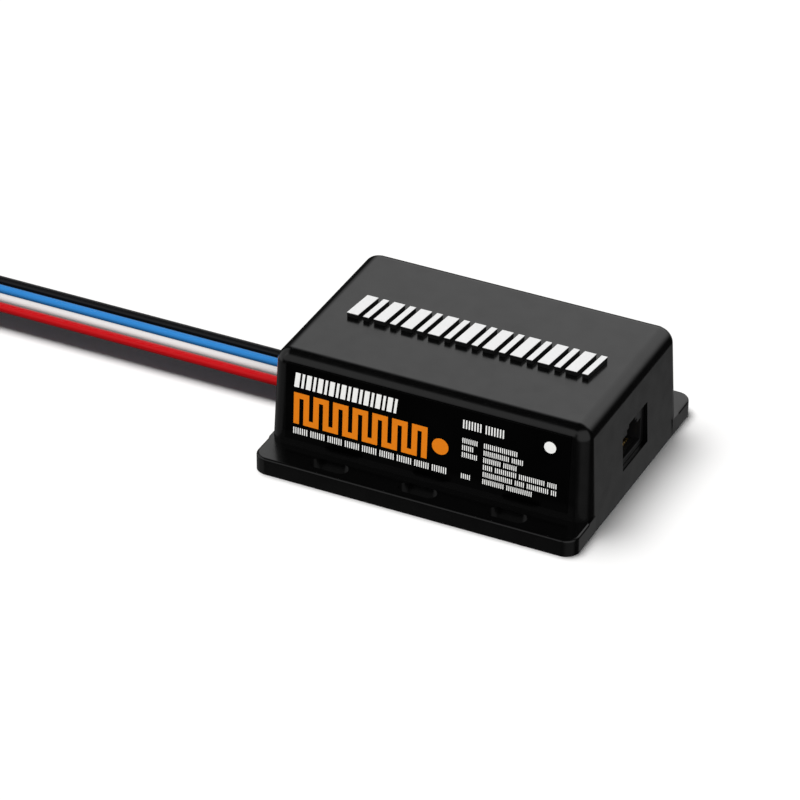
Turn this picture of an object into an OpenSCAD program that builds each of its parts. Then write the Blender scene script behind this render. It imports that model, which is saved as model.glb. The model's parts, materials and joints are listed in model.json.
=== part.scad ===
// Trailer brake controller unit: a moulded box with slotted mounting flanges,
// a modular jack in one end wall and four power leads out of the other.
// Millimetres. Origin at the centre of the underside, +X towards the jack,
// +Z up, and the front wall with the label facing -Y.

/* [Housing] */
// Length of the housing at its foot, which is also the flanges' length
housing_length = 94; // [93:0.5:98]
// Depth of the walled box at its foot
housing_depth = 62.4; // [62:0.2:66]
// Height of the housing from the underside to the top face
housing_height = 32.8; // [32:0.2:38]
// Depth over both mounting flanges
flange_depth = 79.9; // [79:0.1:84]
// Thickness of the mounting flanges
flange_thickness = 5; // [4:0.2:6]
// Radius of the flanges' corners in plan
flange_corner_radius = 4; // [2:0.5:6]
// Wall and roof thickness at the top of the housing
wall = 2.5; // [2:0.1:3]
// How far each end wall leans in between the foot and the top
end_draft = 1.2; // [0.6:0.1:1.6]
// How far the front and back walls lean in between the foot and the top
front_draft = 1.9; // [1.4:0.1:2.2]
// Radius of the top edge above each end wall
end_edge_radius = 4.5; // [4:0.1:5]
// Radius of the top edge above the front and back walls
front_edge_radius = 3.7; // [3:0.1:4]

/* [Mounting slots] */
// Distance between neighbouring slots along a flange
slot_spacing = 26; // [24:0.5:28]
// Distance between the front row and the back row of slots
slot_row_spacing = 70.8; // [70:0.2:72]
// Width of a mounting slot
slot_width = 4.5; // [4:0.1:5]
// End to end length of a mounting slot
slot_length = 11; // [8:0.5:13]

/* [Jack] */
// Distance of the jack's centre line behind the housing's centre line
jack_offset = 0.66; // [0:0.02:2]
// Width of the cut-out for the jack in the end wall
jack_opening_width = 16.4; // [16.3:0.1:17]
// Height of the cut-out for the jack in the end wall
jack_opening_height = 12.4; // [12.4:0.1:13]
// How far the jack's face sits behind the end wall's outer face
jack_recess = 1.1; // [0.5:0.1:1.5]
// Depth of the jack from its face to its back
jack_depth = 16; // [15:0.5:17]
// Width of the plug port
port_width = 11.9; // [11.8:0.1:12]

/* [Leads] */
// Outside diameter of a lead's insulation
lead_diameter = 2.7; // [2.4:0.1:2.8]
// Distance between neighbouring leads
lead_pitch = 4.1; // [4:0.1:4.4]
// Height of the leads' centre line above the underside
lead_height = 6.4; // [6.2:0.1:6.6]
// Length of lead outside the housing
lead_length = 116; // [60:1:200]
// Length of bare strands at the end of each lead
strip_length = 7; // [4:1:10]

/* [Board] */
// Height of the circuit board's top face
board_top = 8; // [8:0.1:8.2]
// Thickness of the circuit board
board_thickness = 1.6; // [1.2:0.2:1.6]

/* [Hidden] */

$fn = 48;
hull_fn = 64;
touch = 0.05;     // gap left between pieces that are assembled against each other
through = 1;      // how far a cutter runs past the face it cuts

top_length = housing_length - 2 * end_draft;
top_depth = housing_depth - 2 * front_draft;
front_draft_angle = atan(front_draft / housing_height);
corner_x = top_length / 2 - end_edge_radius;
corner_y = top_depth / 2 - front_edge_radius;

cavity_length = housing_length - 2 * (wall + end_draft);
cavity_depth = housing_depth - 2 * (wall + front_draft);
cavity_top = housing_height - wall;
cavity_corner_radius = 2;

plate_thickness = 2;
gasket_thickness = 1;
plate_ledge = 1.5;
plate_seat = plate_thickness + gasket_thickness;
recess_length = cavity_length + 2 * plate_ledge;
recess_depth = cavity_depth + 2 * plate_ledge;

screw_radius = 1.45;
screw_head_radius = 2.7;
screw_head_height = 1.6;
pilot_radius = screw_radius + touch;
boss_size = 7.6;
boss_top = 16;
boss_x = cavity_length / 2 - boss_size / 2;
boss_y = cavity_depth / 2 - boss_size / 2;
base_screw_length = 11;

board_bottom = board_top - board_thickness;
board_left = -34;
board_right = cavity_length / 2 - 2.3;
board_depth = cavity_depth - 3.6;
board_screw_x = [-29, 24];
board_screw_y = board_depth / 2 - 4;
board_hole_radius = 1.7;
board_post_radius = 3;
board_screw_length = 8;

jack_outer_face = housing_length / 2 - end_draft * (board_top + jack_opening_height / 2) / housing_height;
jack_face = jack_outer_face - jack_recess;
jack_back = jack_face - jack_depth;
jack_width = jack_opening_width - 0.4;
jack_height = jack_opening_height - 0.2;
port_floor = board_top + 1.6;
port_height = 6.8;
port_depth = 12.5;
carrier_width = 9.6;
carrier_length = 10.6;
carrier_front = jack_face - 1.4;
spring_count = 8;
spring_pitch = 1.02;
spring_width = 0.45;
spring_thickness = 0.35;
spring_length = 6.8;
spring_rise = 15;
spring_knuckle_radius = 0.42;
spring_pivot_x = jack_face - 2.9;
spring_pivot_z = port_floor + 0.5;
comb_x = spring_pivot_x - spring_length * cos(spring_rise);
pin_radius = 0.23;

lead_radius = lead_diameter / 2;
lead_rows = [1.5, 0.5, -0.5, -1.5];
grommet_lip = 1.2;
grommet_lip_rim = 1.5;
grommet_height = 4.8;
bend_x = -housing_length / 2 - 3.2;
lead_end = -housing_length / 2 - lead_length;
clamp_x = -cavity_length / 2 + 3.6;
clamp_width = 2.6;
clamp_screw_y = 1.5 * lead_pitch + 4.6;
terminal_x = board_left - 0.1;
terminal_gauge = 0.8;

badge_height = 1.5;
badge_print = 0.12;
badge_centre = [0.5, -1];
badge_depth = 10.3;
badge_slant = 6;
badge_pair_count = 9;
badge_pitch = 8;
badge_wide_bar = 3.3;
badge_narrow_bar = 1.7;
badge_gap = (badge_pitch - badge_wide_bar - badge_narrow_bar) / 2;

label_thickness = 0.25;
label_length = 82.4;
label_offset = -0.3;
label_bottom = 7.2;
label_top = 30.2;

spreader_y = cavity_depth / 2 - 6.5;
spreader_x = -2;
spreader_length = 44;
spreader_height = 17;
spreader_thickness = 3;
transistor_count = 4;
transistor_pitch = 11;
transistor_width = 10;
transistor_tab_thickness = 1.3;
transistor_body_thickness = 3.2;
pad_thickness = 0.4;

// ---- shared shapes ----

// A rectangle about the origin with round corners
module rounded_rectangle(length, depth, radius) {
    square([length - 2 * radius, depth], center = true);
    square([length, depth - 2 * radius], center = true);
    for (x = [-1, 1], y = [-1, 1])
        translate([x * (length / 2 - radius), y * (depth / 2 - radius)])
            circle(radius);
}

module rounded_slab(length, depth, radius, bottom, top) {
    translate([0, 0, bottom])
        linear_extrude(top - bottom)
            rounded_rectangle(length, depth, radius);
}

// A cylinder along X between two places
module rod_x(from, to, y, z, radius) {
    translate([from, y, z])
        rotate([0, 90, 0])
            cylinder(h = to - from, r = radius);
}

module block(low, high) {
    translate(low)
        cube(high - low);
}

// A pan-head screw standing on its head, with the shank pointing up from z = 0
module pan_screw(length) {
    difference() {
        translate([0, 0, -screw_head_height])
            cylinder(h = screw_head_height, r = screw_head_radius);
        for (turn = [0, 90])
            rotate(turn)
                translate([-1.6, -0.3, -screw_head_height - through])
                    cube([3.2, 0.6, through + 0.9]);
    }
    cylinder(h = length, r = screw_radius);
}

module at_base_screws() {
    for (x = [-1, 1], y = [-1, 1])
        translate([x * boss_x, y * boss_y, 0])
            children();
}

module at_board_screws() {
    for (x = board_screw_x, y = [-1, 1])
        translate([x, y * board_screw_y, 0])
            children();
}

module at_clamp_screws() {
    for (y = [-1, 1])
        translate([clamp_x, y * clamp_screw_y, 0])
            children();
}

module at_slots() {
    for (i = [-1, 0, 1], y = [-1, 1])
        translate([i * slot_spacing, y * slot_row_spacing / 2, 0])
            children();
}

// ---- housing ----

// A quarter-ellipse dome whose foot sits at z = 0
module corner_dome() {
    scale([1, front_edge_radius / end_edge_radius, 1])
        rotate_extrude($fn = hull_fn)
            intersection() {
                circle(end_edge_radius, $fn = hull_fn);
                square(end_edge_radius);
            }
}

// The drafted box with its rounded edges; the upright corners widen towards the foot as the walls lean out
module housing_block() {
    foot_radius_y = housing_depth / 2 - corner_y;
    hull() {
        for (x = [-1, 1], y = [-1, 1]) {
            translate([x * corner_x, y * corner_y, housing_height - end_edge_radius])
                corner_dome();
            translate([x * (housing_length / 2 - end_edge_radius), y * corner_y, 0])
                scale([1, foot_radius_y / end_edge_radius, 1])
                    cylinder(h = 0.01, r = end_edge_radius, $fn = hull_fn);
        }
        for (y = [-1, 1])
            translate([-corner_x, y * corner_y, housing_height - front_edge_radius])
                rotate([0, 90, 0])
                    cylinder(h = 2 * corner_x, r = front_edge_radius, $fn = hull_fn);
    }
}

// Both flanges; the end walls themselves run down to the foot between them
module flanges() {
    intersection() {
        rounded_slab(housing_length, flange_depth, flange_corner_radius, 0, flange_thickness);
        for (y = [-1, 1])
            translate([-housing_length, y > 0 ? corner_y : -corner_y - flange_depth, 0])
                cube([2 * housing_length, flange_depth, flange_thickness]);
    }
}

module mounting_slot() {
    half = (slot_length - slot_width) / 2;
    for (x = [-half, half])
        translate([x, 0, -through])
            cylinder(h = flange_thickness + 2 * through, r = slot_width / 2);
    translate([-half, -slot_width / 2, -through])
        cube([2 * half, slot_width, flange_thickness + 2 * through]);
}

// The hollow inside the housing, with the step that seats the gasket
module housing_hollow() {
    rounded_slab(cavity_length, cavity_depth, cavity_corner_radius, -through, cavity_top);
    rounded_slab(recess_length, recess_depth, cavity_corner_radius, -through, plate_seat);
}

module grommet_slot(from, to, grow) {
    half_row = 1.5 * lead_pitch;
    height = grommet_height + 2 * grow;
    for (y = [-half_row, half_row])
        rod_x(from, to, y, lead_height, height / 2);
    block([from, -half_row, lead_height - height / 2], [to, half_row, lead_height + height / 2]);
}

// Corner bosses for the base screws, and roof posts for the board and the lead clamp
module housing_posts() {
    grown = boss_size + 2 * touch;
    at_base_screws() {
        translate([0, 0, plate_thickness])
            cylinder(h = plate_seat, r = boss_size / 2 - 0.2);
        translate([-grown / 2, -grown / 2, plate_seat])
            cube([grown, grown, boss_top - plate_seat]);
    }
    at_board_screws()
        translate([0, 0, board_top])
            cylinder(h = cavity_top - board_top + touch, r = board_post_radius);
    at_clamp_screws()
        translate([0, 0, lead_height + grommet_height / 2])
            cylinder(h = cavity_top - lead_height - grommet_height / 2 + touch, r = 2.2);
}

module housing_pilots() {
    at_base_screws()
        translate([0, 0, plate_thickness - through])
            cylinder(h = base_screw_length + through, r = pilot_radius);
    at_board_screws()
        translate([0, 0, board_top - through])
            cylinder(h = board_screw_length + through, r = pilot_radius);
    at_clamp_screws()
        translate([0, 0, lead_height])
            cylinder(h = 9, r = 1.05);
}

module housing() {
    color("#1b1b1d")
        difference() {
            union() {
                difference() {
                    union() {
                        housing_block();
                        flanges();
                    }
                    housing_hollow();
                }
                housing_posts();
            }
            housing_pilots();
            at_slots()
                mounting_slot();
            translate([jack_back, jack_offset - jack_opening_width / 2, board_top - touch])
                cube([jack_depth + 5, jack_opening_width, jack_opening_height]);
            grommet_slot(-housing_length / 2 - through, -cavity_length / 2 + through, touch);
        }
}

// ---- underside ----

module base_plate() {
    color("#232325")
        difference() {
            rounded_slab(recess_length - 0.3, recess_depth - 0.3, cavity_corner_radius, 0, plate_thickness);
            at_base_screws() {
                translate([0, 0, -through])
                    cylinder(h = plate_thickness + 2 * through, r = screw_radius + 0.2);
                translate([0, 0, -through])
                    cylinder(h = through + 1.1, r = screw_head_radius + 0.2);
            }
        }
}

module base_gasket() {
    color("#0c0c0c")
        difference() {
            rounded_slab(recess_length - 0.2, recess_depth - 0.2, cavity_corner_radius, plate_thickness, plate_seat);
            rounded_slab(cavity_length, cavity_depth, cavity_corner_radius, 0, plate_seat + through);
        }
}

// Base screws sit in counterbores, with their heads just inside the underside
module base_screws() {
    color("#3c3c40")
        at_base_screws() {
            difference() {
                translate([0, 0, 0.1])
                    cylinder(h = 1, r = screw_head_radius);
                for (turn = [0, 90])
                    rotate(turn)
                        translate([-1.6, -0.3, 0])
                            cube([3.2, 0.6, 0.7]);
            }
            translate([0, 0, 0.8])
                cylinder(h = base_screw_length, r = screw_radius);
        }
}

// ---- outside markings ----

module front_label() {
    color("#060606")
        translate([label_offset, -housing_depth / 2 - 0.02, 0])
            rotate([90 - front_draft_angle, 0, 0])
                translate([-label_length / 2, label_bottom, 0])
                    cube([label_length, label_top - label_bottom, label_thickness]);
}

// A slanted bar with its left edge on x = 0 halfway along its depth
module badge_bar(width) {
    half = badge_depth / 2;
    slant = half * tan(badge_slant);
    polygon([[-slant, -half], [width - slant, -half], [width + slant, half], [slant, half]]);
}

// Wide and narrow bars in turn, centred on the badge
module badge_row(bottom, top) {
    row_length = badge_pair_count * badge_pitch - badge_gap;
    for (i = [0 : badge_pair_count - 1])
        translate([badge_centre[0] - row_length / 2 + i * badge_pitch, badge_centre[1], bottom])
            linear_extrude(top - bottom) {
                badge_bar(badge_wide_bar);
                translate([badge_wide_bar + badge_gap, 0])
                    badge_bar(badge_narrow_bar);
            }
}

module badge_blocks() {
    color("#141415")
        badge_row(housing_height, housing_height + badge_height - badge_print);
}

module badge_faces() {
    color("white")
        badge_row(housing_height + badge_height - badge_print, housing_height + badge_height);
}

// ---- circuit board ----

module circuit_board() {
    color("#1d5b34")
        difference() {
            block([board_left, -board_depth / 2, board_bottom], [board_right, board_depth / 2, board_top]);
            for (y = [-1, 1])
                translate([boss_x, y * boss_y, board_top])
                    cube(boss_size + 0.8, center = true);
            at_board_screws()
                cylinder(h = board_top + through, r = board_hole_radius);
            jack_pin_places()
                cylinder(h = board_top + through, r = pin_radius + 0.15);
        }
}

module board_screws() {
    color("#b9bbc0")
        at_board_screws()
            translate([0, 0, board_bottom])
                pan_screw(board_screw_length);
}

// ---- modular jack ----

// The port as seen from its mouth: a plug body's outline with the latch channel above it
module port_profile() {
    translate([-port_width / 2, 0])
        square([port_width, port_height]);
    translate([-3.2, 0])
        square([6.4, port_height + 1.4]);
    translate([-2, 0])
        square([4, port_height + 2.6]);
}

module jack_shell() {
    color("#101012")
        difference() {
            block([jack_back, jack_offset - jack_width / 2, board_top],
                  [jack_face, jack_offset + jack_width / 2, board_top + jack_height]);
            translate([jack_face - port_depth, jack_offset, port_floor])
                rotate([90, 0, 90])
                    linear_extrude(port_depth + through)
                        port_profile();
            translate([carrier_front - carrier_length - touch, jack_offset - carrier_width / 2 - touch, 0])
                cube([carrier_length + 2 * touch, carrier_width + 2 * touch, port_floor + through]);
        }
}

module jack_pin_places() {
    for (i = [0 : spring_count - 1])
        translate([comb_x + 1.6 + 2.54 * (i % 2), jack_offset + (i - 3.5) * spring_pitch, 0])
            children();
}

// The insert that closes the jack's floor and keeps the contact springs apart
module contact_carrier() {
    tooth = spring_pitch - spring_width - 0.2;
    left = jack_offset - carrier_width / 2;
    color("#2a2a2d")
        difference() {
            union() {
                block([carrier_front - carrier_length, left, board_top],
                      [carrier_front, left + carrier_width, port_floor - touch]);
                for (i = [0 : spring_count])
                    translate([comb_x - 0.8, jack_offset + (i - 4) * spring_pitch - tooth / 2, port_floor - 0.2])
                        cube([2.2, tooth, 2.4]);
            }
            jack_pin_places()
                cylinder(h = port_floor - 0.4, r = pin_radius + touch);
        }
}

module contact_springs() {
    color("#c9a13b")
        for (i = [0 : spring_count - 1])
            translate([spring_pivot_x, jack_offset + (i - 3.5) * spring_pitch + spring_width / 2, spring_pivot_z])
                rotate([90, 0, 0])
                    linear_extrude(spring_width) {
                        circle(spring_knuckle_radius);
                        rotate(180 - spring_rise)
                            translate([0, -spring_thickness / 2])
                                square([spring_length, spring_thickness]);
                    }
}

module jack_pins() {
    color("#d9d9dc")
        jack_pin_places()
            translate([0, 0, board_bottom - 1.6])
                cylinder(h = port_floor - board_bottom + 1, r = pin_radius);
}

// ---- leads ----

module lead_grommet() {
    outer_wall = -housing_length / 2 - touch;
    inner_wall = -cavity_length / 2;
    color("#0f0f10")
        difference() {
            union() {
                grommet_slot(outer_wall - grommet_lip, inner_wall + grommet_lip, 0);
                grommet_slot(outer_wall - grommet_lip, outer_wall, grommet_lip_rim);
                intersection() {
                    grommet_slot(inner_wall + touch, inner_wall + grommet_lip, grommet_lip_rim);
                    block([inner_wall, -20, plate_seat + 0.1], [0, 20, 20]);
                }
            }
            for (row = lead_rows)
                rod_x(bend_x - 5, inner_wall + 5, row * lead_pitch, lead_height, lead_radius + touch);
        }
}

// A bar that holds the leads to two roof posts, so a pull never reaches the board
module lead_clamp() {
    half_depth = clamp_screw_y + 2.2;
    half_height = grommet_height / 2;
    color("#2a2a2d")
        difference() {
            block([clamp_x - clamp_width / 2, -half_depth, lead_height - half_height],
                  [clamp_x + clamp_width / 2, half_depth, lead_height + half_height]);
            for (row = lead_rows)
                rod_x(clamp_x - 5, clamp_x + 5, row * lead_pitch, lead_height, lead_radius + touch);
            at_clamp_screws()
                cylinder(h = 20, r = 1.1);
        }
}

module clamp_screws() {
    color("#b9bbc0")
        at_clamp_screws()
            translate([0, 0, lead_height - grommet_height / 2]) {
                cylinder(h = 10, r = 1);
                translate([0, 0, -1])
                    cylinder(h = 1, r = 1.9);
            }
}

// The insulated length of each lead from just outside the end wall to its terminal
module lead_tails() {
    color("#5a5a5e")
        for (row = lead_rows)
            rod_x(bend_x + lead_radius + touch, terminal_x - 3.6, row * lead_pitch, lead_height, lead_radius);
}

// Strips that carry each lead's core up on to the board
module lead_terminals() {
    half_width = 1.2;
    color("#c8a04a")
        for (row = lead_rows)
            translate([terminal_x, row * lead_pitch, 0]) {
                rod_x(-3.5, -terminal_gauge, 0, lead_height, 0.8);
                block([-terminal_gauge, -half_width, lead_height - half_width],
                      [0, half_width, board_top + terminal_gauge]);
                block([-terminal_gauge, -half_width, board_top],
                      [5, half_width, board_top + terminal_gauge]);
            }
}

// A lead outside the housing; its round end sits on the bend axis
module lead(row) {
    translate([bend_x, row * lead_pitch, lead_height])
        sphere(lead_radius);
    rod_x(lead_end + strip_length, bend_x, row * lead_pitch, lead_height, lead_radius);
}

module lead_black() {
    color("#141414") lead(lead_rows[0]);
}

module lead_blue() {
    color("#3a82c0") lead(lead_rows[1]);
}

module lead_white() {
    color("#e4dcd6") lead(lead_rows[2]);
}

module lead_red() {
    color("#d2161c") lead(lead_rows[3]);
}

// Seven strands at the end of each lead, one in the middle and six round it
module lead_strands() {
    strand_radius = 0.3;
    color("#b87333")
        for (row = lead_rows)
            translate([0, row * lead_pitch, lead_height]) {
                rod_x(lead_end, lead_end + strip_length, 0, 0, strand_radius);
                for (angle = [0 : 60 : 300])
                    rotate([angle, 0, 0])
                        rod_x(lead_end, lead_end + strip_length, 0, 2 * strand_radius + 0.02, strand_radius);
            }
}

// ---- power stage ----

module at_transistors() {
    for (i = [0 : transistor_count - 1])
        translate([spreader_x + (i - (transistor_count - 1) / 2) * transistor_pitch, spreader_y, board_top])
            children();
}

module heat_spreader() {
    color("#b4b6ba")
        difference() {
            translate([spreader_x - spreader_length / 2, spreader_y, board_top])
                cube([spreader_length, spreader_thickness, spreader_height]);
            at_transistors()
                translate([0, -through, 13])
                    rotate([-90, 0, 0])
                        cylinder(h = spreader_thickness + 2 * through, r = 1.3);
        }
}

module thermal_pad() {
    color("#8f9aa6")
        difference() {
            translate([spreader_x - spreader_length / 2, spreader_y - pad_thickness, board_top + 2])
                cube([spreader_length, pad_thickness, spreader_height - 3]);
            at_transistors()
                translate([0, -through, 13])
                    rotate([-90, 0, 0])
                        cylinder(h = 2 * through, r = 1.6);
        }
}

module transistor_tabs() {
    color("#c4c6ca")
        at_transistors()
            translate([-transistor_width / 2, -pad_thickness - transistor_tab_thickness, 2.4])
                difference() {
                    cube([transistor_width, transistor_tab_thickness, 13.4]);
                    translate([transistor_width / 2, -through, 10.6])
                        rotate([-90, 0, 0])
                            cylinder(h = 4, r = 1.6);
                }
}

module power_transistors() {
    front = -pad_thickness - transistor_tab_thickness;
    color("#161618")
        at_transistors() {
            translate([-transistor_width / 2, front - transistor_body_thickness, 2.4])
                cube([transistor_width, transistor_body_thickness, 7.2]);
            for (x = [-2.54, 0, 2.54])
                translate([x - 0.4, front - 1.6, 0])
                    cube([0.8, 0.5, 2.4]);
        }
}

module spreader_screws() {
    front = -pad_thickness - transistor_tab_thickness;
    color("#8d9096")
        at_transistors()
            translate([0, front, 13])
                rotate([-90, 0, 0]) {
                    cylinder(h = 4.4, r = 1.2);
                    translate([0, 0, -1.2])
                        cylinder(h = 1.2, r = 2.4);
                }
}

module filter_capacitors() {
    color("#23324e")
        for (i = [0 : 2])
            translate([-21.5 + 11.5 * i, -17.5, board_top])
                difference() {
                    cylinder(h = 16, r = 5);
                    for (turn = [0, 90])
                        translate([0, 0, 16])
                            rotate(turn)
                                cube([7, 0.4, 0.5], center = true);
                    translate([0, 0, 1.6])
                        rotate_extrude()
                            translate([5.2, 0])
                                circle(0.5);
                }
}

module choke_core() {
    color("#c9b23a")
        translate([18, -8, board_top + 3.6])
            rotate_extrude()
                translate([5.6, 0])
                    circle(2.2);
}

module choke_winding() {
    wire = 0.45;
    turns = 18;
    color("#b5651d")
        translate([18, -8, board_top + 3.6])
            for (i = [0 : turns - 1])
                rotate(i * 360 / turns)
                    translate([5.6, 0, 0])
                        rotate([90, 0, 0])
                            rotate_extrude()
                                translate([2.2 + wire + touch, 0])
                                    circle(wire, $fn = 24);
}

module current_shunt() {
    color("#1c1c1e")
        translate([-24, 5, board_top + 0.4])
            cube([6.4, 3.2, 1]);
}

module shunt_feet() {
    color("#c4c6ca")
        for (x = [-25.6, -17.6])
            translate([x, 5, board_top])
                cube([1.6, 3.2, 1]);
}

// ---- control electronics ----

module microcontroller() {
    color("#111113")
        translate([-7, -6, board_top + 0.2])
            difference() {
                cube([10, 10, 1.4]);
                translate([1.4, 1.4, 1.2])
                    cylinder(h = 1, r = 0.5);
            }
}

module microcontroller_legs() {
    color("#c4c6ca")
        translate([-2, -1, board_top])
            for (side = [0 : 3], i = [-4 : 4])
                rotate(side * 90)
                    translate([5 + touch, i - 0.2, 0])
                        cube([1.1, 0.4, 0.6]);
}

module motion_sensor() {
    color("#2c2c30")
        translate([-16, -5.5, board_top])
            cube([4, 4, 1]);
}

module driver_chips() {
    color("#111113")
        for (x = [-15, 10])
            translate([x, 6, board_top])
                cube([5, 4, 1.5]);
}

module surge_diodes() {
    color("#1a1a1c")
        for (y = [-6, -1])
            translate([-24.5, y - 5, board_top])
                cube([5.6, 3.9, 2.3]);
}

module crystal() {
    color("#b9bbc0")
        translate([-4, 9, board_top])
            linear_extrude(2.4)
                rounded_rectangle(8, 3.4, 1.6);
}

module chip_resistors() {
    color("#0e0e10")
        for (column = [0 : 3], row = [0 : 2])
            translate([10 + 4 * column, 1.2 + 1.5 * row, board_top])
                cube([2, 1.1, 0.55]);
}

housing();
base_plate();
base_gasket();
base_screws();
front_label();
badge_blocks();
badge_faces();
circuit_board();
board_screws();
jack_shell();
contact_carrier();
contact_springs();
jack_pins();
lead_grommet();
lead_clamp();
clamp_screws();
lead_tails();
lead_terminals();
lead_black();
lead_blue();
lead_white();
lead_red();
lead_strands();
heat_spreader();
thermal_pad();
power_transistors();
transistor_tabs();
spreader_screws();
filter_capacitors();
choke_core();
choke_winding();
current_shunt();
shunt_feet();
microcontroller();
microcontroller_legs();
motion_sensor();
driver_chips();
surge_diodes();
crystal();
chip_resistors();
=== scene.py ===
"""Looks for the trailer brake controller unit: finished meshes, materials, label print, light and camera."""
import json
import math

import bmesh
import bpy
from mathutils import Matrix, Vector


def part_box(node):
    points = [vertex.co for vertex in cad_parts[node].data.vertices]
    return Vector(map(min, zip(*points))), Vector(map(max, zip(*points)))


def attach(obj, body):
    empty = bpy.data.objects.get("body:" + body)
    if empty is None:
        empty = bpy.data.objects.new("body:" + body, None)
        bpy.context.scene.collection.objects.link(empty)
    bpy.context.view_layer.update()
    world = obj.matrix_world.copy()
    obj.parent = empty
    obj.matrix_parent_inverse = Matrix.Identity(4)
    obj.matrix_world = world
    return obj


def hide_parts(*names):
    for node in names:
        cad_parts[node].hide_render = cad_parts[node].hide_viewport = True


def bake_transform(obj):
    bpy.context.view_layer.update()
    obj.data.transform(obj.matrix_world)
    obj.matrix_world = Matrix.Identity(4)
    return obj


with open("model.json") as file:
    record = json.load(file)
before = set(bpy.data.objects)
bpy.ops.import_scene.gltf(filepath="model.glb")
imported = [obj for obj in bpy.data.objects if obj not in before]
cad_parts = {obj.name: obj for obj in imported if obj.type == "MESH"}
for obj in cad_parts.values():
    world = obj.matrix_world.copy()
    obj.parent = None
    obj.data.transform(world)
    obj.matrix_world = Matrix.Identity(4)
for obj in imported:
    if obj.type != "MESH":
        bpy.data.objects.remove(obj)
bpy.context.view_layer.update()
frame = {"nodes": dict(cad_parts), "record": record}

MM = 0.001

# Camera: the direction it looks from, the point it is aimed at, and its lens
CAMERA_AZIMUTH = 25.73
CAMERA_ELEVATION = 32.79
CAMERA_ROLL = 0.31
CAMERA_AIM = Vector((-20.65, -3.56, 9.0)) * MM
CAMERA_DISTANCE = 1210.9 * MM
CAMERA_LENS = 202
SENSOR_WIDTH = 36

# Meshes: the gap across which vertices are merged, the angle up to which faces are joined, and the angle from
# which edges are rounded
MERGE_DISTANCE = 0.0005 * MM
FLAT_ANGLE = math.radians(1)
SHARP_ANGLE = math.radians(30)

# The housing's flanges: how far they reach from the middle, their corners' radius and their top
FLANGE_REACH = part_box("housing")[1].xy
FLANGE_CORNER = 4 * MM
FLANGE_TOP = 5 * MM

# The flanges' outer top edge: where its rounding starts, counted from the middle, and the rounding's radius
RIM_START = 30 * MM
RIM_RADIUS = 0.7 * MM
RIM_TOLERANCE = 0.1 * MM

# How far the edges of each finished node are rounded, in millimetres
EDGE_ROUNDING = {
    "housing": 0.3, "base_plate": 0.25, "base_screws": 0.12, "badge_blocks": 0.1, "front_label": 0.05,
    "jack_shell": 0.15, "contact_carrier": 0.05, "lead_grommet": 0.25, "lead_clamp": 0.2, "board_screws": 0.1,
}

# Studio, with angles in degrees. Azimuth 0 is the front and 90 the right.
BACKGROUND_LIGHT = 1.0
AMBIENT_LIGHT = 0.06
# Suns: azimuth, elevation, strength, spread
KEY_LIGHT = (262, 74, 3.5, 40)
FRONT_FILL = (18, 28, 3.4, 60)
# Softboxes, which only reflections see: azimuth, elevation, half width, half height, soft edge, brightness
MIRRORED_DARK = 0.025
SOFTBOXES = {
    "back_wall": (177, 33, 32, 20, 13, 1.13),
    "front_box": (-34, 24, 25, 24, 6, 0.57),
    "left_box": (-84, 18, 25, 36, 6, 0.55),
    "right_box": (49, 18, 43, 36, 8, 0.62),
    "back_low": (182, -12, 16, 11, 4, 0.3),
    "floor_behind": (171, -50, 24.5, 20.5, 2, 0.18),
    "floor_front_right": (54, -40, 28, 16, 10, 0.15),
    "floor_front": (-20, -45, 30, 12, 4, 0.055),
    "floor_left": (282, -40, 36, 18, 6, 0.14),
}

# Leads, from back to front
LEADS = ("lead_black", "lead_blue", "lead_white", "lead_red")
LEAD_SEGMENTS = 40
LEAD_RING_STEP = 1.6 * MM
LEAD_CORNER = 0.22 * MM
LEAD_CUT_SHARE = 0.6
LEAD_FLAG_GAP = 0.3 * MM

# Directions in which die lines and brush marks are drawn out
ALONG_X = (0.06, 1, 1)
BRUSHED_X = (0.05, 1, 1)
BRUSHED_Z = (1, 1, 0.05)

# Print on the label
PRINT_RISE = 0.03 * MM
PRINT_THICKNESS = 0.02 * MM
DISC_SIDES = 32
BADGE_SLANT = math.radians(6)
# The badge's wide and narrow bar: where each starts and ends, as shares of their common pitch
BADGE_BARS = ((0, 0.42), (0.6, 0.82))

# Where print starts, in millimetres to the right of the label's middle
LEFT_EDGE = -38.7
FIRST_COLUMN = 10.7
SECOND_COLUMN = 16.9

# The lines of small print: the first line's foot, the pitch and height, and where each line's two columns end
FIRST_LINE = 1.4
LINE_PITCH = 2.15
LINE_HEIGHT = 1.5
LINE_ENDS = ((15.2, 26.7), (14.2, 28.6), (15.3, 26.8), (None, 38.3), (None, 38.3), (13.7, 31.3))


# ---- materials ----

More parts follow.
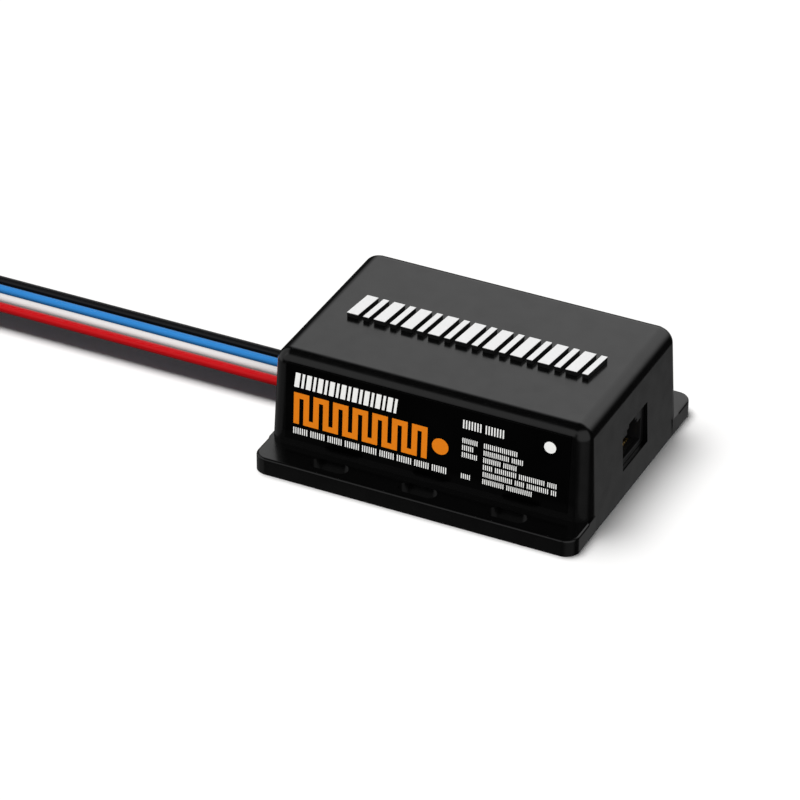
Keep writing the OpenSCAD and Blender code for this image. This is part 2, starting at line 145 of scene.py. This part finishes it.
class Shader:
    """A Principled material that is built up from noise layers in the object's own coordinates."""

    def __init__(self, name, colour, roughness, metallic=0.0, specular=0.5):
        self.material = bpy.data.materials.new(name)
        self.material.use_nodes = True
        self.tree = self.material.node_tree
        self.surface = self.tree.nodes["Principled BSDF"]
        self.surface.inputs["Base Color"].default_value = (*colour, 1)
        self.surface.inputs["Roughness"].default_value = roughness
        self.surface.inputs["Metallic"].default_value = metallic
        self.surface.inputs["Specular IOR Level"].default_value = specular
        self.place = self.node("ShaderNodeTexCoord").outputs["Object"]
        self.colour = colour
        self.roughness = roughness
        self.last_bump = None

    def node(self, kind, **settings):
        made = self.tree.nodes.new(kind)
        for key, value in settings.items():
            setattr(made, key, value)
        return made

    def link(self, output, socket):
        self.tree.links.new(output, socket)

    def stretched(self, stretch):
        mapping = self.node("ShaderNodeMapping")
        mapping.inputs["Scale"].default_value = stretch
        self.link(self.place, mapping.inputs["Vector"])
        return mapping.outputs["Vector"]

    def noise(self, size, detail=3.0, stretch=(1, 1, 1)):
        """Noise whose grains are about size metres across."""
        texture = self.node("ShaderNodeTexNoise")
        texture.inputs["Scale"].default_value = 1 / size
        texture.inputs["Detail"].default_value = detail
        self.link(self.stretched(stretch), texture.inputs["Vector"])
        return texture.outputs["Fac"]

    def spread(self, value, low, high):
        """Noise brought to the range from low to high; nearly all of it is between 0.3 and 0.7."""
        ranged = self.node("ShaderNodeMapRange")
        ranged.inputs["From Min"].default_value = 0.3
        ranged.inputs["From Max"].default_value = 0.7
        ranged.inputs["To Min"].default_value = low
        ranged.inputs["To Max"].default_value = high
        self.link(value, ranged.inputs["Value"])
        return ranged.outputs["Result"]

    def vary_colour(self, size, share, stretch=(1, 1, 1)):
        """Makes the colour lighter and darker by a share of itself."""
        scale = self.node("ShaderNodeVectorMath", operation="SCALE")
        scale.inputs[0].default_value = self.colour
        self.link(self.spread(self.noise(size, 4, stretch), 1 - share, 1 + share), scale.inputs["Scale"])
        self.link(scale.outputs["Vector"], self.surface.inputs["Base Color"])
        return self

    def vary_roughness(self, size, amount, stretch=(1, 1, 1)):
        value = self.spread(self.noise(size, 5, stretch), self.roughness - amount, self.roughness + amount)
        self.link(value, self.surface.inputs["Roughness"])
        return self

    def bump(self, height_output, depth):
        bump = self.node("ShaderNodeBump")
        bump.inputs["Distance"].default_value = depth
        self.link(height_output, bump.inputs["Height"])
        if self.last_bump:
            self.link(self.last_bump, bump.inputs["Normal"])
        self.last_bump = bump.outputs["Normal"]
        self.link(self.last_bump, self.surface.inputs["Normal"])
        return self

    def grain(self, size, depth, stretch=(1, 1, 1)):
        return self.bump(self.noise(size, 2, stretch), depth)

    def coat(self, weight, roughness):
        self.surface.inputs["Coat Weight"].default_value = weight
        self.surface.inputs["Coat Roughness"].default_value = roughness
        return self


def moulded_plastic(name, level=0.0004, roughness=0.22):
    """Black plastic with a fine spark-eroded grain and slow mould shading."""
    shader = Shader(name, (level, level, level * 1.03), roughness)
    shader.vary_colour(9 * MM, 0.12).vary_roughness(5 * MM, 0.04)
    return shader.grain(0.28 * MM, 0.006 * MM).grain(1.6 * MM, 0.004 * MM).material


def gloss_film():
    """The label's black film, with faint handling marks."""
    shader = Shader("label_film", (0.0002, 0.0002, 0.0002), 0.16, specular=0.3)
    return shader.vary_colour(6 * MM, 0.2).vary_roughness(14 * MM, 0.05).grain(5 * MM, 0.003 * MM).material


def ink(name, colour):
    shader = Shader(name, colour, 0.42)
    return shader.vary_colour(0.6 * MM, 0.03).vary_roughness(1.0 * MM, 0.06).grain(0.2 * MM, 0.002 * MM).material


def rubber(name):
    shader = Shader(name, (0.012, 0.012, 0.012), 0.7, specular=0.35)
    return shader.vary_colour(2 * MM, 0.25).vary_roughness(1.5 * MM, 0.08).grain(0.35 * MM, 0.02 * MM).material


def insulation(name, colour, roughness=0.3):
    """Extruded vinyl: die lines run along the lead, with a soft gloss."""
    shader = Shader(name, colour, roughness, specular=0.3)
    shader.vary_colour(7 * MM, 0.06, ALONG_X).vary_roughness(3 * MM, 0.05, ALONG_X)
    return shader.grain(0.3 * MM, 0.008 * MM, ALONG_X).grain(4 * MM, 0.01 * MM).material


def metal(name, colour, roughness, brushed=(1, 1, 1)):
    """Bare metal; brushed gives the direction in which its marks are drawn out."""
    shader = Shader(name, colour, roughness, metallic=1.0)
    shader.vary_colour(1.2 * MM, 0.08, brushed).vary_roughness(0.8 * MM, 0.1, brushed)
    return shader.grain(0.15 * MM, 0.004 * MM, brushed).material


def epoxy(name):
    shader = Shader(name, (0.018, 0.018, 0.02), 0.6)
    return shader.vary_colour(0.8 * MM, 0.2).vary_roughness(0.5 * MM, 0.08).grain(0.12 * MM, 0.01 * MM).material


def solder_mask():
    """Green mask over copper: straight tracks show through as lighter bands."""
    shader = Shader("solder_mask", (0.012, 0.11, 0.045), 0.28)
    bricks = shader.node("ShaderNodeTexBrick")
    bricks.inputs["Scale"].default_value = 1 / (2.4 * MM)
    bricks.inputs["Color1"].default_value = (0.010, 0.10, 0.04, 1)
    bricks.inputs["Color2"].default_value = (0.016, 0.14, 0.055, 1)
    bricks.inputs["Mortar"].default_value = (0.03, 0.22, 0.09, 1)
    bricks.inputs["Mortar Size"].default_value = 0.04
    shader.link(shader.place, bricks.inputs["Vector"])
    shader.link(bricks.outputs["Color"], shader.surface.inputs["Base Color"])
    shader.bump(bricks.outputs["Fac"], 0.02 * MM)
    return shader.vary_roughness(3 * MM, 0.05).coat(0.4, 0.1).material


def powder_core():
    shader = Shader("powder_core", (0.5, 0.38, 0.05), 0.5)
    return shader.vary_colour(0.7 * MM, 0.15).vary_roughness(0.7 * MM, 0.08).grain(0.3 * MM, 0.02 * MM).material


MATERIALS = {
    "housing_plastic": moulded_plastic("housing_plastic"),
    "cover_plastic": moulded_plastic("cover_plastic", 0.004, 0.5),
    "seal_rubber": rubber("seal_rubber"),
    "screw_steel": metal("screw_steel", (0.5, 0.5, 0.51), 0.34),
    "black_screw": metal("black_screw", (0.09, 0.09, 0.095), 0.42),
    "label_film": gloss_film(),
    "badge_plastic": moulded_plastic("badge_plastic", 0.002, 0.4),
    "badge_print": ink("badge_print", (0.53, 0.53, 0.53)),
    "board_laminate": solder_mask(),
    "jack_plastic": moulded_plastic("jack_plastic", 0.004, 0.34),
    "carrier_plastic": moulded_plastic("carrier_plastic", 0.006, 0.45),
    "contact_gold": metal("contact_gold", (0.6, 0.41, 0.15), 0.34),
    "tinned_metal": metal("tinned_metal", (0.72, 0.72, 0.73), 0.3),
    "terminal_brass": metal("terminal_brass", (0.76, 0.56, 0.26), 0.3),
    "lead_black_pvc": insulation("lead_black_pvc", (0.003, 0.003, 0.0035)),
    "lead_blue_pvc": insulation("lead_blue_pvc", (0.016, 0.135, 0.36)),
    "lead_white_pvc": insulation("lead_white_pvc", (0.44, 0.425, 0.42)),
    "lead_red_pvc": insulation("lead_red_pvc", (0.32, 0.002, 0.004)),
    "copper": metal("copper", (0.8, 0.4, 0.24), 0.28),
    "spreader_aluminium": metal("spreader_aluminium", (0.66, 0.67, 0.68), 0.36, BRUSHED_X),
    "pad_silicone": rubber("pad_silicone"),
    "package_epoxy": epoxy("package_epoxy"),
    "capacitor_sleeve": insulation("capacitor_sleeve", (0.02, 0.035, 0.1)),
    "core_powder": powder_core(),
    "crystal_can": metal("crystal_can", (0.6, 0.6, 0.62), 0.25, BRUSHED_Z),
}
ORANGE_INK = ink("orange_ink", (0.67, 0.18, 0.006))
WHITE_INK = ink("white_ink", (0.8, 0.8, 0.78))

SLOT_OF = {part["node"]: part["material_slot"] for part in frame["record"]["subparts"]}
BODY_OF = {node: body for body, nodes in frame["record"]["behaviour"]["bodies"].items() for node in nodes}


# ---- mesh helpers ----

def add_piece(name, mesh, material, body=None):
    piece = bpy.data.objects.new(name, mesh)
    bpy.context.scene.collection.objects.link(piece)
    mesh.materials.clear()
    mesh.materials.append(material)
    if body:
        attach(piece, body)
    return piece


def smooth(mesh):
    mesh.shade_smooth()
    mesh.set_sharp_from_angle(angle=SHARP_ANGLE)


def weight_normals(piece):
    """Keeps large flat faces flat beside their rounded edges."""
    weighted = piece.modifiers.new("weighted_normals", "WEIGHTED_NORMAL")
    weighted.keep_sharp = True
    weighted.weight = 90


def sharp_edges(bm, wanted):
    return [e for e in bm.edges if len(e.link_faces) == 2 and e.calc_face_angle() > SHARP_ANGLE
            and wanted((e.verts[0].co + e.verts[1].co) / 2)]


def round_edges(bm, width, segments=3, wanted=lambda point: True, clamped=True):
    """Rounds the sharp edges that are wanted; clamped narrows the rounding where edges are short."""
    bmesh.ops.bevel(bm, geom=sharp_edges(bm, wanted), offset=width, segments=segments, profile=0.5,
                    affect="EDGES", clamp_overlap=clamped)


def on_flange_rim(point):
    """Whether a point of the housing is on the outer top edge of a mounting flange."""
    inset = Vector((abs(point.x), abs(point.y))) - FLANGE_REACH
    beyond_corner = inset.x > -FLANGE_CORNER and inset.y > -FLANGE_CORNER
    outside = max(inset) > -RIM_TOLERANCE or beyond_corner
    return abs(point.z - FLANGE_TOP) < RIM_TOLERANCE and abs(point.y) > RIM_START and outside


def round_flange_rim(bm):
    """Rounds the flanges' outer top edges, and ends the rounding just before the housing's foot."""
    for edge in sharp_edges(bm, on_flange_rim):
        inner, outer = sorted(edge.verts, key=lambda vert: abs(vert.co.y))
        if abs(inner.co.y) < RIM_START:
            share = (abs(outer.co.y) - RIM_START) / (abs(outer.co.y) - abs(inner.co.y))
            bmesh.utils.edge_split(edge, outer, share)
    round_edges(bm, RIM_RADIUS, 4, on_flange_rim, clamped=False)


def finish_node(node, edge):
    """A copy of a CAD node with its flat faces merged and its edges rounded."""
    bm = bmesh.new()
    bm.from_mesh(frame["nodes"][node].data)
    bmesh.ops.remove_doubles(bm, verts=bm.verts, dist=MERGE_DISTANCE)
    bmesh.ops.dissolve_limit(bm, angle_limit=FLAT_ANGLE, verts=bm.verts, edges=bm.edges)
    if node == "housing":
        round_flange_rim(bm)
    round_edges(bm, edge)
    mesh = bpy.data.meshes.new(node + "_finished")
    bm.to_mesh(mesh)
    bm.free()
    if "custom_normal" in mesh.attributes:
        mesh.attributes.remove(mesh.attributes["custom_normal"])
    slot = SLOT_OF[node]
    piece = add_piece(node + "_finished", mesh, MATERIALS[slot], BODY_OF[node])
    smooth(mesh)
    weight_normals(piece)
    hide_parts(node)


# ---- leads ----

def circle(middle, radius, sides):
    """Points round a circle, as pairs."""
    turns = [2 * math.pi * i / sides for i in range(sides)]
    return [(middle[0] + radius * math.cos(a), middle[1] + radius * math.sin(a)) for a in turns]


def add_tube(bm, places, centre):
    """A closed tube about an axis along X; places is a list of (x, radius)."""
    rings = [[bm.verts.new((x, y, z)) for y, z in circle(centre, radius, LEAD_SEGMENTS)] for x, radius in places]
    for a, b in zip(rings, rings[1:]):
        for i in range(LEAD_SEGMENTS):
            j = (i + 1) % LEAD_SEGMENTS
            bm.faces.new((a[i], a[j], b[j], b[i]))
    bm.faces.new(list(reversed(rings[0])))
    bm.faces.new(rings[-1])


def lead_outline(start, end, radius):
    """A lead's (x, radius) from one end to the other, with its cut ends' corners broken."""
    cut, inner = radius - LEAD_CORNER, radius * LEAD_CUT_SHARE
    first, last = start - LEAD_CORNER, end + LEAD_CORNER
    steps = round((first - last) / LEAD_RING_STEP)
    along = [(first + (last - first) * i / steps, radius) for i in range(steps + 1)]
    return [(start, inner), (start, cut)] + along + [(end, cut), (end, inner)]


def add_lead(node):
    """One lead from its terminal to its cut end, as a straight tube."""
    low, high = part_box(node)
    _, tail_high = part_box("lead_tails")
    centre = ((low.y + high.y) / 2, (low.z + high.z) / 2)
    bm = bmesh.new()
    add_tube(bm, lead_outline(tail_high.x, low.x, (high.z - low.z) / 2), centre)
    bmesh.ops.recalc_face_normals(bm, faces=bm.faces)
    mesh = bpy.data.meshes.new(node + "_insulation")
    bm.to_mesh(mesh)
    bm.free()
    slot = SLOT_OF[node]
    piece = add_piece(node + "_insulation", mesh, MATERIALS[slot])
    smooth(mesh)
    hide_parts(node, "lead_tails")
    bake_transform(piece)


# ---- label print ----

class LabelPrint:
    """Flat shapes laid on the label, in label coordinates: s to the right and t upwards from its middle."""

    def __init__(self, name, material):
        self.bm = bmesh.new()
        self.name = name
        self.material = material
        self.surface = self.find_surface()

    @staticmethod
    def find_surface():
        """The label's outer face as a matrix from (s, t, height) to the frame."""
        mesh = frame["nodes"]["front_label"].data
        face = max((f for f in mesh.polygons if f.normal.y < -0.5), key=lambda f: f.area)
        normal = face.normal.normalized()
        right = Vector((1, 0, 0))
        up = normal.cross(right).normalized()
        low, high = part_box("front_label")
        middle = (low + high) / 2
        middle -= normal * (middle - face.center).dot(normal)
        return Matrix.Translation(middle) @ Matrix((right, up, normal)).transposed().to_4x4()

    def polygon(self, points):
        bottom = [self.bm.verts.new(self.surface @ Vector((s * MM, t * MM, PRINT_RISE - PRINT_THICKNESS)))
                  for s, t in points]
        top = [self.bm.verts.new(self.surface @ Vector((s * MM, t * MM, PRINT_RISE))) for s, t in points]
        count = len(points)
        self.bm.faces.new(top)
        self.bm.faces.new(list(reversed(bottom)))
        for i in range(count):
            j = (i + 1) % count
            self.bm.faces.new((bottom[i], bottom[j], top[j], top[i]))

    def bar(self, s0, t0, s1, t1, lean=0.0):
        """A rectangle, or with lean a parallelogram whose top is moved to the right."""
        self.polygon([(s0, t0), (s1, t0), (s1 + lean, t1), (s0 + lean, t1)])

    def finish(self):
        bmesh.ops.recalc_face_normals(self.bm, faces=self.bm.faces)
        mesh = bpy.data.meshes.new(self.name)
        self.bm.to_mesh(mesh)
        self.bm.free()
        piece = add_piece(self.name, mesh, self.material, BODY_OF["front_label"])
        piece.visible_glossy = False


def slanted_bars(label, left, bottom, pitch, height, pairs):
    """The badge's wide and narrow bars in turn, small."""
    lean = height * math.tan(BADGE_SLANT)
    for i in range(pairs):
        start = left + i * pitch
        for first, last in BADGE_BARS:
            label.bar(start + first * pitch, bottom, start + last * pitch, bottom + height, lean)


def meander(label, left, bottom, right, top, stroke, uprights):
    """One bold line that runs up and down between two heights."""
    pitch = (right - left - stroke) / (uprights - 1)
    for i in range(uprights):
        start = left + i * pitch
        label.bar(start, bottom, start + stroke, top)
        if i < uprights - 1:
            link = bottom if i % 2 else top - stroke
            label.bar(start + stroke, link, start + pitch, link + stroke)


def small_print(label, left, right, bottom, height, stroke=0.27, seed=1):
    """Fine upright strokes in groups of uneven length, as a stand-in for a line of small print."""
    start = left
    group = seed
    while start < right:
        # steps through a few numbers below seven in a fixed, uneven order
        group = (group * 5 + 3) % 7
        for _ in range(5 + 2 * group):
            if start + stroke > right:
                return
            label.bar(start, bottom, start + stroke, bottom + height)
            start += 2.15 * stroke
        start += 2 * stroke


def disc(label, middle, radius):
    label.polygon(circle(middle, radius, DISC_SIDES))


def print_label():
    white = LabelPrint("label_print_white", WHITE_INK)
    orange = LabelPrint("label_print_orange", ORANGE_INK)
    # left half: a white row over a bold orange line, a dot and one line of small print
    slanted_bars(white, LEFT_EDGE, bottom=4.75, pitch=3.4, height=4.4, pairs=9)
    meander(orange, LEFT_EDGE, bottom=-6.4, right=0.6, top=3.1, stroke=1.65, uprights=14)
    disc(orange, (4.4, -1.6), radius=2.4)
    small_print(white, LEFT_EDGE, right=7.5, bottom=-9.45, height=1.9, stroke=0.3)
    # right half: a heading over six lines, of which four start in the first column
    small_print(white, FIRST_COLUMN, right=22.7, bottom=5.8, height=2.55, stroke=0.38)
    for i, (first_end, second_end) in enumerate(LINE_ENDS):
        bottom = FIRST_LINE - LINE_PITCH * i
        if first_end:
            small_print(white, FIRST_COLUMN, first_end, bottom, LINE_HEIGHT, seed=6)
        small_print(white, SECOND_COLUMN, second_end, bottom, LINE_HEIGHT, seed=i + 2)
    disc(white, (35.6, 6.9), radius=1.7)
    white.finish()
    orange.finish()


# ---- stage ----

def paper():
    """White paper that is seen from above only, so that it doesn't hide the unit's underside."""
    shader = Shader("floor_paper", (0.93, 0.925, 0.92), 0.9, specular=0.1)
    shader.vary_colour(40 * MM, 0.004)
    sides = shader.node("ShaderNodeMixShader")
    shader.link(shader.node("ShaderNodeNewGeometry").outputs["Backfacing"], sides.inputs["Fac"])
    shader.link(shader.surface.outputs["BSDF"], sides.inputs[1])
    shader.link(shader.node("ShaderNodeBsdfTransparent").outputs["BSDF"], sides.inputs[2])
    shader.link(sides.outputs["Shader"], shader.tree.nodes["Material Output"].inputs["Surface"])
    return shader.material


def level_sheet(name, low, high, level):
    """A mesh with one face that looks up, from the corner low to the corner high."""
    mesh = bpy.data.meshes.new(name)
    corners = [(low.x, low.y, level), (high.x, low.y, level), (high.x, high.y, level), (low.x, high.y, level)]
    mesh.from_pydata(corners, [], [(0, 1, 2, 3)])
    return mesh


def add_floor():
    """A wide floor, so little below the unit that the two don't share a plane."""
    reach = Vector((3, 3))
    floor = add_piece("floor", level_sheet("floor", -reach, reach, -0.01 * MM), paper())
    floor.visible_glossy = False
    floor.visible_diffuse = False


def direction(azimuth, elevation):
    """The unit vector towards a compass direction, azimuth 0 being the front and 90 the right."""
    a, e = math.radians(azimuth), math.radians(elevation)
    return Vector((math.sin(a) * math.cos(e), -math.cos(a) * math.cos(e), math.sin(e)))


def add_lead_flag():
    """A card under the leads that only dims the floor below them, as close-lying leads do; it is attached to the
    leads' body.
    """
    low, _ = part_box("lead_red")
    _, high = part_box("lead_black")
    sheet = level_sheet("lead_flag", low, high, low.z - LEAD_FLAG_GAP)
    flag = add_piece("lead_flag", sheet, MATERIALS["seal_rubber"], BODY_OF["lead_black"])
    flag.visible_camera = False
    flag.visible_glossy = False
    flag.visible_diffuse = False


def add_sun(name, azimuth, elevation, strength, spread, receivers=None):
    """A broad light that no surface mirrors; with receivers it lights only those objects."""
    light = bpy.data.lights.new(name, "SUN")
    light.energy = strength
    light.angle = math.radians(spread)
    lamp = bpy.data.objects.new(name, light)
    bpy.context.scene.collection.objects.link(lamp)
    lamp.rotation_euler = direction(azimuth, elevation).to_track_quat("Z", "Y").to_euler()
    lamp.visible_glossy = False
    if receivers:
        group = bpy.data.collections.new(name + "_receivers")
        for receiver in receivers:
            group.objects.link(receiver)
        lamp.light_linking.receiver_collection = group


class Studio:
    """World nodes: a white background, a little ambient light, and softboxes that only reflections see."""

    def __init__(self):
        world = bpy.data.worlds.new("studio")
        bpy.context.scene.world = world
        world.use_nodes = True
        self.tree = world.node_tree
        self.ray = self.tree.nodes.new("ShaderNodeTexCoord").outputs["Generated"]
        mirrored = MIRRORED_DARK
        for box in SOFTBOXES.values():
            mirrored = self.math("ADD", mirrored, self.softbox(*box))
        path = self.tree.nodes.new("ShaderNodeLightPath")
        lit = self.blend(path.outputs["Is Camera Ray"], AMBIENT_LIGHT, BACKGROUND_LIGHT)
        strength = self.blend(path.outputs["Is Glossy Ray"], lit, mirrored)
        background = self.tree.nodes["Background"]
        background.inputs["Color"].default_value = (1, 1, 1, 1)
        self.tree.links.new(strength, background.inputs["Strength"])

    def feed(self, value, socket):
        if isinstance(value, bpy.types.NodeSocket):
            self.tree.links.new(value, socket)
        else:
            socket.default_value = value

    def math(self, operation, *values):
        node = self.tree.nodes.new("ShaderNodeMath")
        node.operation = operation
        for value, socket in zip(values, node.inputs):
            self.feed(value, socket)
        return node.outputs["Value"]

    def blend(self, share, low, high):
        node = self.tree.nodes.new("ShaderNodeMix")
        for name, value in {"Factor": share, "A": low, "B": high}.items():
            self.feed(value, node.inputs[name])
        return node.outputs["Result"]

    def along(self, axis):
        node = self.tree.nodes.new("ShaderNodeVectorMath")
        node.operation = "DOT_PRODUCT"
        node.inputs[1].default_value = axis
        self.tree.links.new(self.ray, node.inputs[0])
        return node.outputs["Value"]

    def edge(self, position, half_angle, soft):
        """1 well inside a half angle, measured on the softbox's plane, and 0 well outside it."""
        node = self.tree.nodes.new("ShaderNodeMapRange")
        node.interpolation_type = "SMOOTHSTEP"
        node.inputs["From Min"].default_value = math.tan(math.radians(half_angle + soft))
        node.inputs["From Max"].default_value = math.tan(math.radians(half_angle - soft))
        self.tree.links.new(self.math("ABSOLUTE", position), node.inputs["Value"])
        return node.outputs["Result"]

    def softbox(self, azimuth, elevation, half_width, half_height, soft, brightness):
        """What a softbox adds in the ray's direction; it is nothing for directions away from its plane."""
        centre = direction(azimuth, elevation)
        across = direction(azimuth + 90, 0)
        facing = self.along(centre)
        distance = self.math("MAXIMUM", facing, 0.001)
        wide = self.edge(self.math("DIVIDE", self.along(across), distance), half_width, soft)
        high = self.edge(self.math("DIVIDE", self.along(centre.cross(across)), distance), half_height, soft)
        return self.math("MULTIPLY", self.math("MULTIPLY", wide, high), brightness)


def add_camera():
    data = bpy.data.cameras.new("camera")
    data.lens = CAMERA_LENS
    data.sensor_width = SENSOR_WIDTH
    data.clip_start = 0.01
    camera = bpy.data.objects.new("camera", data)
    bpy.context.scene.collection.objects.link(camera)
    back = direction(CAMERA_AZIMUTH, CAMERA_ELEVATION)
    turn = back.to_track_quat("Z", "Y").to_matrix() @ Matrix.Rotation(math.radians(CAMERA_ROLL), 3, "Z")
    camera.matrix_world = Matrix.Translation(CAMERA_AIM + back * CAMERA_DISTANCE) @ turn.to_4x4()
    bpy.context.scene.camera = camera


# ---- build ----

for name, width in EDGE_ROUNDING.items():
    finish_node(name, width * MM)
for name in LEADS:
    add_lead(name)
print_label()
for name, node in frame["nodes"].items():
    if not node.hide_render:
        node.data.materials.clear()
        node.data.materials.append(MATERIALS[SLOT_OF[name]])

unit_pieces = [piece for piece in bpy.context.scene.objects if piece.type == "MESH"]
add_floor()
add_lead_flag()
add_sun("key_light", *KEY_LIGHT)
add_sun("front_fill", *FRONT_FILL, unit_pieces)
Studio()
add_camera()
bpy.context.scene.view_settings.view_transform = "Standard"
